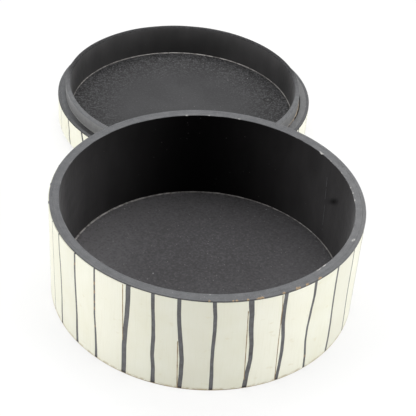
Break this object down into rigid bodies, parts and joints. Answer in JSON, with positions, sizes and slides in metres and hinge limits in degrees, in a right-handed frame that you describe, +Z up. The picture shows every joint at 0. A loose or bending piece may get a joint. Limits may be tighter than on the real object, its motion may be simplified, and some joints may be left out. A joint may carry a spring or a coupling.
{
  "type": "trinket box",
  "caption": "Round open trinket box clad in bone strips with wavy dark resin lines, its collared lid lying upside down behind it.",
  "frame": {"origin": "centre of the box's underside, on the surface that it stands on", "axes": "+Z up out of the open box, +Y from the box towards the lid that lies behind it, +X to the right"},
  "size_m": [0.1583, 0.2794, 0.05],
  "materials": {
    "black_lacquer": "wooden ring under satin black lacquer, greyer and duller on the cut rims",
    "charcoal_paint": "board under matt charcoal paint with a dusty fleck",
    "black_resin": "dark grey resin rubbed flush, with a few worn tan spots",
    "bone": "polished ivory-white bone with faint long grain and hairline joints"
  },
  "bodies": {
    "box": {"box_wall": "black_lacquer", "box_floor": "charcoal_paint", "box_resin_lines": "black_resin", "box_bone_strip_01": "bone", "box_bone_strip_02": "bone", "box_bone_strip_03": "bone", "box_bone_strip_04": "bone", "box_bone_strip_05": "bone", "box_bone_strip_06": "bone", "box_bone_strip_07": "bone", "box_bone_strip_08": "bone", "box_bone_strip_09": "bone", "box_bone_strip_10": "bone", "box_bone_strip_11": "bone", "box_bone_strip_12": "bone", "box_bone_strip_13": "bone", "box_bone_strip_14": "bone", "box_bone_strip_15": "bone", "box_bone_strip_16": "bone", "box_bone_strip_17": "bone", "box_bone_strip_18": "bone", "box_bone_strip_19": "bone", "box_bone_strip_20": "bone", "box_bone_strip_21": "bone", "box_bone_strip_22": "bone", "box_bone_strip_23": "bone", "box_bone_strip_24": "bone", "box_bone_strip_25": "bone", "box_bone_strip_26": "bone", "box_bone_strip_27": "bone", "box_bone_strip_28": "bone", "box_bone_strip_29": "bone", "box_bone_strip_30": "bone", "box_bone_strip_31": "bone", "box_bone_strip_32": "bone"},
    "lid": {"lid_ring": "black_lacquer", "lid_collar": "black_lacquer", "lid_panel": "charcoal_paint", "lid_resin_lines": "black_resin", "lid_edge_bone_01": "bone", "lid_edge_bone_02": "bone", "lid_edge_bone_03": "bone", "lid_edge_bone_04": "bone", "lid_edge_bone_05": "bone", "lid_edge_bone_06": "bone", "lid_edge_bone_07": "bone", "lid_edge_bone_08": "bone", "lid_edge_bone_09": "bone", "lid_edge_bone_10": "bone", "lid_edge_bone_11": "bone", "lid_edge_bone_12": "bone", "lid_edge_bone_13": "bone", "lid_edge_bone_14": "bone", "lid_edge_bone_15": "bone", "lid_edge_bone_16": "bone", "lid_top_bone_1": "bone", "lid_top_bone_2": "bone", "lid_top_bone_3": "bone", "lid_top_bone_4": "bone", "lid_top_bone_5": "bone"}
  },
  "joints": [
    {"name": "lid_lift", "type": "slide", "parent": "box", "child": "lid", "axis": [0, 0, 1], "range_m": [0, 0.08]}
  ]
}
